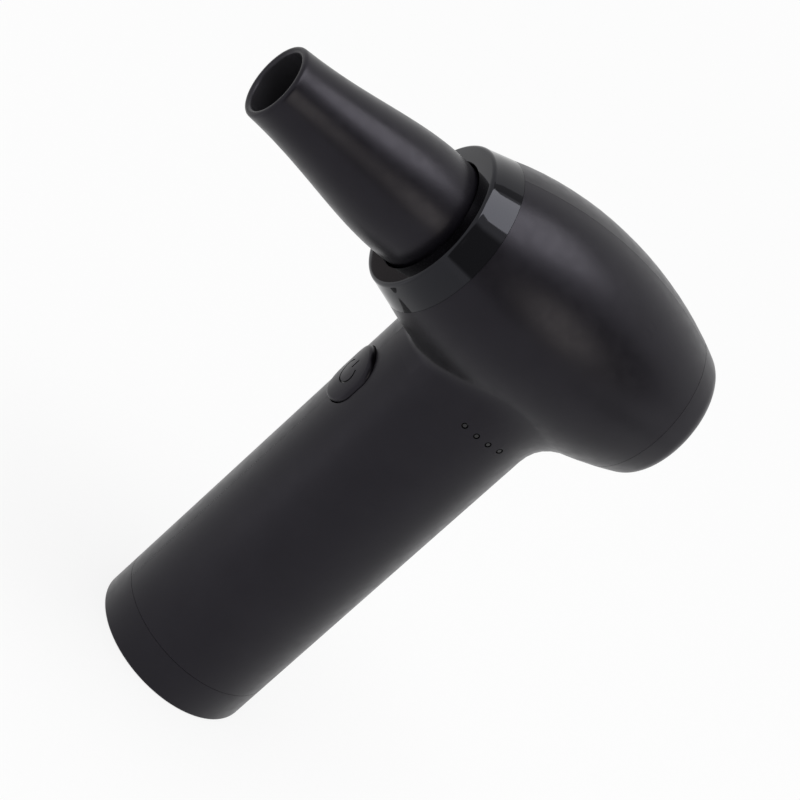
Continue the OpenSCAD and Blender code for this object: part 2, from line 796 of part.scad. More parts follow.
module impeller() {
    s0 = duct_rear_s + impeller_inset;
    s1 = s0 + impeller_l;
    nose = 6;
    root = hub_r - bite;
    hub_wall = 1.2;
    hub_boss_r = shaft_r + 2;
    web_s = s0 + nose + 1;
    boss_s = s1 - 0.4;
    mid_s = s1 - 5.2;
    dome = [for (i = [0:6]) let (t = 15 * i) [hub_r * sin(t), s0 + nose * (1 - cos(t))]];
    color(inner_colour) on_head() difference() {
        union() {
            rotate_extrude($fn = turn_fn) polygon(concat(
                dome,
                [
                    [hub_r, s1], [hub_r - hub_wall, s1], [hub_r - hub_wall, web_s],
                    [hub_boss_r, web_s], [hub_boss_r, boss_s], [0, boss_s]
                ]
            ));
            for (i = [0:blades - 1]) rotate([0, 0, 360 * i / blades]) skin([
                for (j = [0:3]) let (f = j / 3, r = root + (tip_r - root) * f)
                    blade_ring(r, 9 + 4 * f, 52 - 24 * f, 1.1 - 0.4 * f, 1, mid_s)
            ]);
        }
        translate([0, 0, s0 + 1.4]) cylinder(r = shaft_r + shaft_gap, h = impeller_l, $fn = turn_fn);
    }
}

// Duct, stator vanes and motor pod in one moulding
module fan_duct() {
    wall_t = bearing_w + bearing_step;
    root = pod_r - 0.3;
    lead_in = 0.7;
    color(inner_colour) on_head() difference() {
        union() {
            rotate_extrude($fn = turn_fn) polygon([
                [duct_bore_r + lead_in, duct_rear_s], [duct_r, duct_rear_s], [duct_r, duct_front_s],
                [duct_bore_r, duct_front_s], [duct_bore_r, duct_rear_s + 1.5]
            ]);
            ring(pod_bore_r, pod_r, pod_rear_s, duct_front_s);
            ring(bearing_r + bearing_gap, root, pod_rear_s, pod_rear_s + wall_t);
            ring(shaft_hole_r, bearing_r + bite, pod_rear_s, pod_rear_s + bearing_step);
            for (i = [0:vanes - 1]) rotate([0, 0, 360 * i / vanes]) skin([
                for (j = [0:2]) let (f = j / 2, r = root + (duct_bore_r + 0.4 - root) * f)
                    blade_ring(r, 12, 118, 1.1, 1.2, pod_rear_s + pod_l / 2)
            ]);
            translate([
                -duct_r - terminal_h, -terminal_w / 2, rear_damper_s + terminal_s - terminal_l / 2
            ]) cube([terminal_h + bite, terminal_w, terminal_l]);
        }
        translate([0, 0, pod_rear_s - cut]) cylinder(r = shaft_hole_r, h = 2 * cut, $fn = turn_fn);
    }
}

// Cone behind the motor that closes the pod and seats the front bearing
module tail_cone() {
    point_r = 1;
    base_s = duct_front_s + fit / 2;
    ogive = [for (i = [0:8]) let (t = i / 8)
        [point_r + (pod_r - point_r) * sqrt(1 - t * t), base_s + cone_l * t]];
    seat = duct_front_s - spigot_l;
    shaft_end = seat + bearing_w + 1.2;
    color(inner_colour) on_head() rotate_extrude($fn = turn_fn) polygon(concat(
        [
            [bearing_r + bearing_gap, seat + bearing_w], [bearing_r + bearing_gap, seat],
            [pod_bore_r - 0.1, seat], [pod_bore_r - 0.1, base_s]
        ],
        ogive,
        [
            [0, base_s + cone_l], [0, shaft_end], [shaft_hole_r, shaft_end],
            [shaft_hole_r, seat + bearing_w]
        ]
    ));
}

module motor_shaft() {
    a = duct_rear_s + impeller_inset + 1.6;
    b = duct_front_s - spigot_l + bearing_w + 0.8;
    color(metal_colour) on_head() translate([0, 0, a])
        cylinder(r = shaft_r, h = b - a, $fn = turn_fn);
}

module rotor_magnet() {
    color(metal_colour) on_head()
        ring(shaft_r + shaft_gap, magnet_r, stator_s, stator_s + stator_l);
}

module stator_core() {
    color(metal_colour) on_head() translate([0, 0, stator_s]) linear_extrude(stator_l) union() {
        difference() {
            circle(r = stator_r, $fn = turn_fn);
            circle(r = stator_r - yoke_t, $fn = turn_fn);
        }
        difference() {
            circle(r = stator_bore_r + shoe_t, $fn = turn_fn);
            circle(r = stator_bore_r, $fn = turn_fn);
            for (i = [0:teeth - 1]) rotate(360 * (i + 0.5) / teeth)
                translate([stator_bore_r - cut, -slot_mouth / 2])
                    square([shoe_t + 2 * cut, slot_mouth]);
        }
        for (i = [0:teeth - 1]) rotate(360 * i / teeth)
            translate([stator_bore_r + 0.4, -tooth_w / 2])
                square([stator_r - stator_bore_r - 0.4 - yoke_t / 2, tooth_w]);
    }
}

module stator_coils() {
    a = stator_bore_r + shoe_t + coil_gap;
    b = stator_r - yoke_t - coil_gap - 0.3;
    width = tooth_w + 2.2;
    color("peru") on_head() for (i = [0:teeth - 1]) rotate([0, 0, 360 * i / teeth])
        translate([a, 0, stator_s]) difference() {
            translate([0, -width / 2, -end_turn]) cube([b - a, width, stator_l + 2 * end_turn]);
            translate([-cut, -tooth_w / 2 - 0.05, -0.05])
                cube([b - a + 2 * cut, tooth_w + 0.1, stator_l + 0.1]);
        }
}

module bearing(s) {
    race = (bearing_r - shaft_r) * 0.34;
    groove = 0.3;
    color(metal_colour) on_head() difference() {
        ring(shaft_r + shaft_gap, bearing_r, s, s + bearing_w);
        for (face = [s - cut, s + bearing_w - groove])
            ring(shaft_r + race, bearing_r - race, face, face + cut + groove);
    }
}

module rear_bearing() {
    bearing(pod_rear_s + bearing_step);
}

module front_bearing() {
    bearing(duct_front_s - spigot_l);
}

// Rubber grommet ring: grips a rib of the housing in its groove and the duct in its bore
module damper(s) {
    half = damper_w / 2;
    slot = damper_rib_t / 2 + 0.05;
    bore = duct_r + 0.05;
    lip = [0.8, 0.6];
    color(gloss_colour) on_head() translate([0, 0, s]) rotate_extrude($fn = turn_fn) polygon([
        [bore, -half], [damper_r - lip[0], -half], [damper_r, -half + lip[1]],
        [damper_r, -slot], [damper_rib_r, -slot], [damper_rib_r, slot], [damper_r, slot],
        [damper_r, half - lip[1]], [damper_r - lip[0], half], [bore, half]
    ]);
}

module rear_damper() {
    damper(rear_damper_s);
}

module front_damper() {
    damper(front_damper_s);
}

// ---------------------------------------------------------------- button and electronics

// Open ring with a stroke, drawn on the plane z = 0 with its top towards -x
module power_mark() {
    stroke_from = 0.4 * mark_r;
    stroke_to = 1.3 * mark_r;
    difference() {
        circle(r = mark_r + mark_line / 2, $fn = 64);
        circle(r = mark_r - mark_line / 2, $fn = 64);
        polygon([[0, 0], for (side = [-1, 1]) 2 * mark_r * [-cos(mark_gap), side * sin(mark_gap)]]);
    }
    translate([-(stroke_from + stroke_to) / 2, 0])
        square([stroke_to - stroke_from, mark_line], center = true);
}

// Power button: a pill with a crowned face and an engraved mark, over a wider flange behind the wall
module power_button() {
    half_turn = 20;
    straight = (button_l - button_w) / 2;
    crown = function(y) button_face_x + button_crown_r - sqrt(pow(button_crown_r, 2) - y * y);
    outline = function(inset, part) [for (side = [1, -1], i = [0:half_turn])
        let (a = 180 * i / half_turn, r = button_w / 2 - inset)
            [-side * part * r * cos(a), side * part * (straight + r * sin(a))]];
    on_crown = function(inset, part, drop)
        [for (p = outline(inset, part)) [crown(p[0]) + drop, p[0], p[1]]];
    foot = [for (p = outline(0, 1)) [button_flange_x + bite, p[0], p[1]]];
    middle = [for (p = outline(button_edge_r, 0.1)) [button_face_x, p[0], p[1]]];
    mark_x = crown(mark_r) + mark_depth;
    color(shell_colour) translate([0, 0, button_z]) {
        difference() {
            skin(concat(
                [foot],
                [for (t = [0:15:90])
                    on_crown(button_edge_r * (1 - cos(t)), 1, button_edge_r * (1 - sin(t)))],
                [for (part = [0.75, 0.5, 0.25]) on_crown(button_edge_r, part, 0)],
                [middle]
            ));
            translate([mark_x - cut, 0, 0]) rotate([0, 90, 0]) linear_extrude(cut) power_mark();
        }
        translate([button_flange_x, 0, 0])
            stadium(button_l + 2 * button_flange, button_w + 2 * button_flange, button_flange_t);
    }
}

module switch_stem() {
    color("ivory") translate([button_back_x, 0, button_z]) rotate([0, 90, 0])
        cylinder(r = stem_r, h = switch_lift + stem_reach, $fn = turn_fn);
}

module button_switch() {
    color(inner_colour) difference() {
        translate([switch_x, -switch_size / 2, button_z - switch_size / 2])
            cube([switch_h, switch_size, switch_size]);
        translate([switch_x - cut, 0, button_z]) rotate([0, 90, 0])
            cylinder(r = stem_r + stem_gap, h = cut + stem_reach + button_travel + stem_room, $fn = turn_fn);
    }
}

module control_board() {
    color(board_colour) difference() {
        translate([board_x, -board_w / 2, board_z]) cube([board_t, board_w, board_l]);
        for (side = [-1, 1]) translate([board_x - cut, side * (board_w / 2 - 4), board_z + 3])
            rotate([0, 90, 0]) cylinder(r = 1.2, h = board_t + 2 * cut, $fn = turn_fn);
    }
}

// Transistors, driver chip and capacitor of the motor board, charger chip and coil of the other
module board_parts() {
    back = board_x + board_t;
    transistor = [1.1, 5, 6];
    transistor_pitch = 6.5;
    edge = 2;
    chip = [1, 6, 6];
    can_r = 3.15;
    can_l = 9;
    charger = [5, 5, 1];
    choke = [6, 6, 3];
    face_z = charge_board_z + board_t;
    color("dimgray") {
        for (i = [-1:1]) translate([
            back, i * transistor_pitch - transistor[1] / 2, board_z + board_l - transistor[2] - edge
        ]) cube(transistor);
        translate([back, -chip[1] / 2, board_z + 4 * edge]) cube(chip);
        translate([back + can_r + 0.05, 0, board_z + 2 * edge]) rotate([90, 0, 0])
            cylinder(r = can_r, h = can_l, center = true, $fn = turn_fn);
        translate([-3 * edge, -4.5 * edge, face_z]) cube(charger);
        translate([edge, 2.5 * edge, face_z]) cube(choke);
    }
}

module indicator_board() {
    color(board_colour) translate([indicator_x, led_board_y, indicator_z])
        rotate([0, head_tilt, 0]) translate([-led_board_l / 2, 0, -led_board_h / 2])
            cube([led_board_l, board_t, led_board_h]);
}

module indicator_leds() {
    color("ivory") indicator_row() translate([-led_l / 2, led_board_y - led_h, -0.4])
        cube([led_l, led_h, 0.8]);
}

// Rods in front of the light sources that end inset below the handle's surface
module light_pipes(r, inset) {
    light_gap = 0.1;
    intersection() {
        translate([0, 0, indicator_z - led_board_h])
            cylinder(r = handle_r - inset, h = 2 * led_board_h, $fn = turn_fn);
        indicator_row() rotate([90, 0, 0]) translate([0, 0, -led_board_y + led_h + light_gap])
            cylinder(r = r, h = handle_r, $fn = turn_fn);
    }
}

// Clear light pipes, stepped down to tips that stand alone in their holes
module indicator_lenses() {
    tip_l = 0.7;
    tip_inset = 0.1;
    color([0.55, 0.56, 0.58]) {
        light_pipes(indicator_r, tip_inset + tip_l);
        light_pipes(indicator_tip_r, tip_inset);
    }
}

module at_cells() {
    for (i = [0:cells - 1]) rotate([0, 0, 360 * i / cells]) translate([cell_ring_r, 0, 0]) children();
}

module battery_cells() {
    nub_h = 1;
    color("steelblue") at_cells() union() {
        translate([0, 0, cell_z]) cylinder(d = cell_d, h = cell_l - nub_h, $fn = turn_fn);
        translate([0, 0, cell_z + cell_l - nub_h - 0.1]) cylinder(r = 3, h = nub_h + 0.1, $fn = turn_fn);
    }
}

// Plate with a pocket for each cell's end
module cell_holder(plate_z, pocket_z, h) {
    color(inner_colour) difference() {
        translate([0, 0, plate_z]) cylinder(r = handle_bore_r - fit, h = h, $fn = turn_fn);
        at_cells() translate([0, 0, pocket_z]) cylinder(d = cell_d + 0.1, h = h, $fn = turn_fn);
        at_cells() translate([0, 0, plate_z - cut]) cylinder(r = 4, h = h + 2 * cut, $fn = turn_fn);
        for (i = [0:cells - 1]) rotate([0, 0, 180 + 360 * i / cells])
            translate([lead_r - 1.2, -3, plate_z - cut]) cube([handle_bore_r, 6, h + 2 * cut]);
    }
}

module lower_cell_holder() {
    cell_holder(holder_z, cell_z, holder_floor + holder_pocket);
}

module upper_cell_holder() {
    h = holder_floor + holder_pocket;
    cell_holder(holder_top_z - h, holder_top_z - h - holder_floor, h);
}

// Welded strips on the ends of the cells
module nickel_strips() {
    hub = 1;
    color(metal_colour) for (z = [holder_z - strip_t, holder_top_z]) union()
        for (i = [0:cells - 1]) rotate([0, 0, 360 * i / cells])
            translate([-hub, -strip_w / 2, z]) cube([cell_ring_r + 4 + hub, strip_w, strip_t]);
}

module charge_board() {
    color(board_colour) intersection() {
        translate([0, 0, charge_board_z]) cylinder(r = charge_board_r, h = board_t, $fn = turn_fn);
        translate([-block, -block / 2, 0])
            cube([block + socket_x + socket_l - socket_overhang, block, block]);
    }
}

// Charging socket: a metal shell with a tongue
module charge_socket() {
    socket_floor = 1;
    tongue = [6.6, 0.7, socket_l - 1.6];
    color(metal_colour) translate([socket_x, 0, socket_z]) rotate([90, 0, 90]) union() {
        difference() {
            linear_extrude(socket_l) socket_outline(socket_h);
            translate([0, 0, socket_floor])
                linear_extrude(socket_l) socket_outline(socket_h - 2 * socket_wall);
        }
        translate([-tongue[0] / 2, -tongue[1] / 2, socket_floor - bite]) cube(tongue);
    }
}

// Insulated wire along a path in a plane near y = constant
module lead(path, r) {
    sides = 8;
    last = len(path) - 1;
    skin([for (i = [0:last])
        let (
            along = unit(path[min(i + 1, last)] - path[max(i - 1, 0)]),
            across = unit(cross([0, 1, 0], along)),
            third = cross(along, across)
        )
        [for (k = [0:sides - 1]) let (a = 360 * k / sides)
            path[i] + r * (cos(a) * across + sin(a) * third)]
    ]);
}

module battery_leads() {
    r = battery_lead_r;
    board_mid = board_x + board_t / 2;
    bend = [[0.75, 0, 1], [-0.5, 0, -1.75], [0, 0, -1]] * r;
    color("firebrick") for (y = [-lead_pitch / 2, lead_pitch / 2]) lead([
        [-lead_r, y, charge_board_z + board_t], [-lead_r, y, stop_rib_z],
        [-lead_r, y, stop_rib_z] + bend[0], [board_mid, y, board_z] + bend[1],
        [board_mid, y, board_z] + bend[2], [board_mid, y, board_z]
    ], r);
}

module motor_leads() {
    r = motor_lead_r;
    s = rear_damper_s + terminal_s;
    u = -duct_r - terminal_h;
    up = r * [sin(head_tilt), 0, cos(head_tilt)];
    end = [u * sin(head_tilt) - s * cos(head_tilt), 0, head_z + u * cos(head_tilt) + s * sin(head_tilt)];
    start = [board_x + board_t / 2, 0, board_z + board_l];
    rise = [[0, 0, 1.3], [2.3, 0, 3], [11.7, 0, 4.3]] * r;
    color("gold") for (i = [-1:1]) lead([
        for (p = [
            start, start + rise[0], start + rise[1], start + rise[2],
            end - 9.2 * up - [6.7 * r, 0, 0], end - 3.7 * up, end - 1.7 * up, end
        ]) p + [0, i * motor_lead_pitch, 0]
    ], r);
}

left_shell();
right_shell();
collar_ring();
rear_cover();
intake_filter();
base_cap();
nozzle();
nozzle_seal();
outlet_sleeve();
fan_duct();
tail_cone();
impeller();
motor_shaft();
rotor_magnet();
stator_core();
stator_coils();
rear_bearing();
front_bearing();
rear_damper();
front_damper();
power_button();
switch_stem();
button_switch();
control_board();
board_parts();
indicator_board();
indicator_leds();
indicator_lenses();
battery_cells();
lower_cell_holder();
upper_cell_holder();
nickel_strips();
charge_board();
charge_socket();
battery_leads();
motor_leads();
housing_screws();
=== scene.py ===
import math
import bpy
from mathutils import Matrix, Vector


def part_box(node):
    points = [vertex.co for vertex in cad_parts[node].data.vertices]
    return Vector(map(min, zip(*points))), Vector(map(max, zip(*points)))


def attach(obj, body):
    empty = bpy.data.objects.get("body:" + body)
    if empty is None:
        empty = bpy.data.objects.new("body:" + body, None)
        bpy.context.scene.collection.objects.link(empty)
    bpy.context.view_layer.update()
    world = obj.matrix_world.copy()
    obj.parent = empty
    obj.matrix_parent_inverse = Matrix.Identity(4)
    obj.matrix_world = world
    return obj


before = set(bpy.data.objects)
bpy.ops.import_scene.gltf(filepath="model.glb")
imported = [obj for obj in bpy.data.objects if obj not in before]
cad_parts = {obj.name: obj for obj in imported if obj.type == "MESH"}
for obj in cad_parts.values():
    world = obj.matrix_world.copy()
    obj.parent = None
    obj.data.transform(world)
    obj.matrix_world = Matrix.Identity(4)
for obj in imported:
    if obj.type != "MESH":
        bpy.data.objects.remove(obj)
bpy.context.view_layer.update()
mm = 0.001

# ---------------------------------------------------------------- battery pack
# Three lithium cells in blue shrink wrap stand in two moulded holders. Nickel strips are spot
# welded across their ends. The wrap is a thin film, so it shines in a soft, slightly uneven way.

crease = math.radians(32)
weld_reach = 0.002 * mm
tool_mark_stretch = (1, 1, 14)
tool_mark_size = 2 * mm
tool_mark_depth = 0.003 * mm
cloud_size = 9 * mm
patch_size = 3 * mm


def finish(node, material):
    """Gives a CAD node its material, and smooth shading up to the crease angle."""
    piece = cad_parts[node]
    piece.data.materials.clear()
    piece.data.materials.append(material)
    for face in piece.data.polygons:
        face.use_smooth = True
    weld = piece.modifiers.new("weld", "WELD")
    weld.merge_threshold = weld_reach
    split = piece.modifiers.new("crease", "EDGE_SPLIT")
    split.split_angle = crease


def start_material(name):
    """An empty node material with its shader, its output and a place on the piece."""
    material = bpy.data.materials.new(name)
    material.use_nodes = True
    nodes = material.node_tree.nodes
    shader = nodes["Principled BSDF"]
    place = nodes.new("ShaderNodeTexCoord").outputs["Object"]
    return material, nodes, material.node_tree.links, shader, place


def noise(nodes, links, place, size, detail=3.0):
    """Noise whose blotches are about size metres across."""
    texture = nodes.new("ShaderNodeTexNoise")
    texture.inputs["Scale"].default_value = 1 / size
    texture.inputs["Detail"].default_value = detail
    links.new(place, texture.inputs["Vector"])
    return texture.outputs["Fac"]


def spread(nodes, links, value, low, high):
    """Stretches the middle of a noise onto the range from low to high."""
    scale = nodes.new("ShaderNodeMapRange")
    for socket, number in (("From Min", 0.3), ("From Max", 0.7), ("To Min", low), ("To Max", high)):
        scale.inputs[socket].default_value = number
    links.new(value, scale.inputs["Value"])
    return scale.outputs["Result"]


def shades(nodes, links, value, dark, light):
    """Colour that runs from dark to light over the middle of a noise."""
    ramp = nodes.new("ShaderNodeValToRGB")
    ramp.color_ramp.elements[0].position = 0.35
    ramp.color_ramp.elements[1].position = 0.65
    ramp.color_ramp.elements[0].color = (*dark, 1)
    ramp.color_ramp.elements[1].color = (*light, 1)
    links.new(value, ramp.inputs["Fac"])
    return ramp.outputs["Color"]


def rough_surface(nodes, links, shader, height, depth):
    """Bump of the given depth in metres."""
    bump = nodes.new("ShaderNodeBump")
    bump.inputs["Strength"].default_value = 1
    bump.inputs["Distance"].default_value = depth
    links.new(height, bump.inputs["Height"])
    links.new(bump.outputs["Normal"], shader.inputs["Normal"])


def moulded(name, dark, light, rough, grain=0.28 * mm, depth=0.004 * mm, gloss=0.5, tint=(1, 1, 1)):
    """Moulded plastic or rubber: cloudy colour, patchy sheen and the tool's fine spark grain."""
    material, nodes, links, shader, place = start_material(name)
    shader.inputs["Specular IOR Level"].default_value = gloss
    shader.inputs["Specular Tint"].default_value = (*tint, 1)
    cloud = noise(nodes, links, place, cloud_size)
    links.new(shades(nodes, links, cloud, dark, light), shader.inputs["Base Color"])
    patch = noise(nodes, links, place, patch_size, 5)
    links.new(spread(nodes, links, patch, *rough), shader.inputs["Roughness"])
    rough_surface(nodes, links, shader, noise(nodes, links, place, grain, 2), depth)
    return material


def metal(name, dark, light, rough):
    """Machined or plated metal with fine tool marks across the stretched axis."""
    material, nodes, links, shader, place = start_material(name)
    shader.inputs["Metallic"].default_value = 1
    mapping = nodes.new("ShaderNodeMapping")
    mapping.inputs["Scale"].default_value = tool_mark_stretch
    links.new(place, mapping.inputs["Vector"])
    marks = noise(nodes, links, mapping.outputs["Vector"], tool_mark_size, 6)
    links.new(shades(nodes, links, marks, dark, light), shader.inputs["Base Color"])
    links.new(spread(nodes, links, marks, *rough), shader.inputs["Roughness"])
    rough_surface(nodes, links, shader, marks, tool_mark_depth)
    return material


cell_wrap = moulded(
    "cell_wrap", dark=(0.05, 0.2, 0.36), light=(0.08, 0.28, 0.46), rough=(0.2, 0.32), grain=1.2 * mm
)
inner_plastic = moulded(
    "inner_plastic", dark=(0.016, 0.016, 0.018), light=(0.026, 0.026, 0.029), rough=(0.45, 0.6)
)
nickel = metal("nickel", dark=(0.55, 0.53, 0.48), light=(0.7, 0.68, 0.63), rough=(0.2, 0.36))
finish("battery_cells", cell_wrap)
finish("lower_cell_holder", inner_plastic)
finish("upper_cell_holder", inner_plastic)
finish("nickel_strips", nickel)

# ---------------------------------------------------------------- circuit boards
# Glass-fibre boards under green solder mask, with copper tracks showing through as paler lines.
# The parts on them are black moulded resin, and the charging socket is a folded nickel shell.

track_pitch = 2.4 * mm
copper_t = 0.03 * mm
mask_patch = 5 * mm
mask_rough = (0.2, 0.32)


def solder_mask(name, mask, track):
    """Green lacquer over etched tracks, which stand up from the board by the copper's thickness."""
    material, nodes, links, shader, place = start_material(name)
    etched = nodes.new("ShaderNodeTexVoronoi")
    etched.distance = "MANHATTAN"
    etched.feature = "F1"
    etched.inputs["Scale"].default_value = 1 / track_pitch
    links.new(place, etched.inputs["Vector"])
    tracks = etched.outputs["Distance"]
    links.new(shades(nodes, links, tracks, track, mask), shader.inputs["Base Color"])
    patch = noise(nodes, links, place, mask_patch)
    links.new(spread(nodes, links, patch, *mask_rough), shader.inputs["Roughness"])
    rough_surface(nodes, links, shader, tracks, copper_t)
    return material


board_green = solder_mask("board_green", mask=(0.012, 0.12, 0.045), track=(0.03, 0.22, 0.08))
chip_black = moulded(
    "chip_black",
    dark=(0.015, 0.015, 0.016), light=(0.028, 0.028, 0.03), rough=(0.4, 0.55), grain=0.2 * mm
)
white_plastic = moulded(
    "white_plastic", dark=(0.66, 0.65, 0.6), light=(0.76, 0.75, 0.7), rough=(0.3, 0.42)
)
for board in ("control_board", "charge_board", "indicator_board"):
    finish(board, board_green)
finish("board_parts", chip_black)
finish("button_switch", chip_black)
finish("indicator_leds", white_plastic)
finish("charge_socket", nickel)

# ---------------------------------------------------------------- wires
# Stranded copper in extruded silicone, red to the battery and yellow to the motor. Silicone is
# soft and a little dusty, so its sheen is dull and patchy.

wire_rough = (0.4, 0.58)
wire_grain = 0.5 * mm
wire_red = moulded(
    "wire_red",
    dark=(0.36, 0.02, 0.02), light=(0.5, 0.035, 0.03), rough=wire_rough, grain=wire_grain
)
wire_yellow = moulded(
    "wire_yellow",
    dark=(0.55, 0.36, 0.03), light=(0.72, 0.5, 0.06), rough=wire_rough, grain=wire_grain
)
finish("battery_leads", wire_red)
finish("motor_leads", wire_yellow)

# ---------------------------------------------------------------- motor
# A laminated steel stator with enamelled copper windings, a ground shaft with a ring magnet, and
# two small ball bearings. All of it sits in the pod of the fan duct.

turn_pitch = 2.2 * mm
turn_height = 0.12 * mm
lacquer_patch = 1 * mm
lacquer_rough = (0.25, 0.4)


def winding(name, dark, light):
    """Copper wire laid side by side, each turn a little ridge across the coil."""
    material, nodes, links, shader, place = start_material(name)
    shader.inputs["Metallic"].default_value = 1
    turns = nodes.new("ShaderNodeTexWave")
    turns.bands_direction = "X"
    turns.inputs["Scale"].default_value = 1 / turn_pitch
    turns.inputs["Distortion"].default_value = 0.4
    links.new(place, turns.inputs["Vector"])
    ridges = turns.outputs["Fac"]
    links.new(shades(nodes, links, ridges, dark, light), shader.inputs["Base Color"])
    patch = noise(nodes, links, place, lacquer_patch)
    links.new(spread(nodes, links, patch, *lacquer_rough), shader.inputs["Roughness"])
    rough_surface(nodes, links, shader, ridges, turn_height)
    return material


steel = metal("steel", dark=(0.42, 0.42, 0.44), light=(0.6, 0.6, 0.62), rough=(0.22, 0.38))
copper_wire = winding("copper_wire", dark=(0.42, 0.15, 0.06), light=(0.72, 0.32, 0.15))
for part in ("stator_core", "rotor_magnet", "motor_shaft", "rear_bearing", "front_bearing"):
    finish(part, steel)
finish("stator_coils", copper_wire)

# ---------------------------------------------------------------- fan, duct and dampers
# The impeller is moulded in glass-filled nylon, paler than the duct it turns in. Rubber rings hold
# the duct in the housing's ribs, and a sleeve leads the air on into the nozzle's socket.

impeller_grey = moulded(
    "impeller_grey",
    dark=(0.13, 0.135, 0.15), light=(0.2, 0.205, 0.22), rough=(0.38, 0.52), grain=0.4 * mm
)
rubber = moulded(
    "rubber", dark=(0.01, 0.01, 0.01), light=(0.018, 0.018, 0.018), rough=(0.6, 0.8), grain=0.5 * mm
)
finish("impeller", impeller_grey)
finish("fan_duct", inner_plastic)
finish("tail_cone", inner_plastic)
finish("outlet_sleeve", inner_plastic)
finish("rear_damper", rubber)
finish("front_damper", rubber)

# ---------------------------------------------------------------- power button
# A crowned pill moulded in the housing's soft-touch black. Its mark, an open ring with a stroke,
# is a groove with a thin film of black paint on its floor.

black_look = {
    "dark": (0.0036, 0.0031, 0.0046),
    "light": (0.0052, 0.0046, 0.0064),
    "rough": (0.28, 0.36),
    "gloss": 0.265,
    "tint": (0.9, 0.86, 1),
}
soft_black = moulded("soft_black", **black_look)
button_low, button_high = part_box("power_button")
button_z = (button_low.z + button_high.z) / 2
button_crown_r = 16 * mm
mark_r = 3.2 * mm
mark_sunk = 0.2 * mm
crown_drop = button_crown_r - math.sqrt(button_crown_r ** 2 - mark_r ** 2)
mark_floor_x = button_low.x + crown_drop + mark_sunk
paint_t = 0.05 * mm
paint_w = 0.41 * mm
paint_x = mark_floor_x - paint_t / 2
paint_edge = 0.015 * mm
paint_gap = math.radians(41)
ring_steps = 56
stroke_from = 0.42 * mark_r
stroke_to = 1.28 * mark_r
stroke_z = button_z + (stroke_from + stroke_to) / 2
same_point = 0.001 * mm
smooth_angle = math.radians(35)
finish("power_button", soft_black)
finish("switch_stem", white_plastic)


def clear_selection():
    """Leaves object mode with nothing selected, so that the next operator acts on its own piece."""
    if bpy.context.object and bpy.context.object.mode != "OBJECT":
        bpy.ops.object.mode_set(mode="OBJECT")
    bpy.ops.object.select_all(action="DESELECT")


def settle(name, material, body):
    """Names the active piece, fixes its place in its mesh and hands it to its body."""
    piece = bpy.context.object
    if piece.mode != "OBJECT":
        bpy.ops.object.mode_set(mode="OBJECT")
    piece.name = name
    piece.data.name = name
    bpy.ops.object.transform_apply(location=True, rotation=True, scale=True)
    bpy.ops.object.mode_set(mode="EDIT")
    bpy.ops.mesh.select_all(action="SELECT")
    bpy.ops.mesh.remove_doubles(threshold=same_point)
    bpy.ops.mesh.normals_make_consistent(inside=False)
    bpy.ops.object.mode_set(mode="OBJECT")
    piece.data.materials.clear()
    piece.data.materials.append(material)
    bpy.ops.object.shade_smooth_by_angle(angle=smooth_angle)
    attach(piece, body)


mark_paint = moulded(
    "mark_paint", dark=(0.0032, 0.003, 0.0037), light=(0.005, 0.0047, 0.0057), rough=(0.28, 0.36)
)
clear_selection()
bpy.ops.mesh.primitive_plane_add(
    size=1,
    location=(paint_x, mark_r * math.sin(paint_gap), button_z + mark_r * math.cos(paint_gap)),
    rotation=(math.pi / 2 - paint_gap, 0, 0),
)
bpy.context.object.scale = (paint_t, paint_w, 1)
bpy.ops.object.transform_apply(location=True, rotation=True, scale=True)
bpy.ops.object.mode_set(mode="EDIT")
bpy.ops.mesh.select_all(action="SELECT")
bpy.ops.mesh.spin(
    steps=ring_steps,
    angle=2 * (math.pi - paint_gap),
    center=(paint_x, 0, button_z),
    axis=(-1, 0, 0),
)
settle("button_mark_ring", mark_paint, "button")

clear_selection()
bpy.ops.mesh.primitive_cube_add(size=1, location=(paint_x, 0, stroke_z))
bpy.context.object.scale = (paint_t, paint_w, stroke_to - stroke_from)
bpy.ops.object.transform_apply(location=True, rotation=True, scale=True)
bpy.ops.object.mode_set(mode="EDIT")
bpy.ops.mesh.select_all(action="SELECT")
bpy.ops.mesh.bevel(offset=paint_edge, segments=2)
settle("button_mark_stroke", mark_paint, "button")

# ---------------------------------------------------------------- housing halves
# Two moulded halves that part along the middle of the handle and head. The outside has a fine
# soft-touch grain, and three screws from the right side pull the halves together.

handle_r = 23 * mm
handle_top = 112 * mm
on_handle = 0.06 * mm


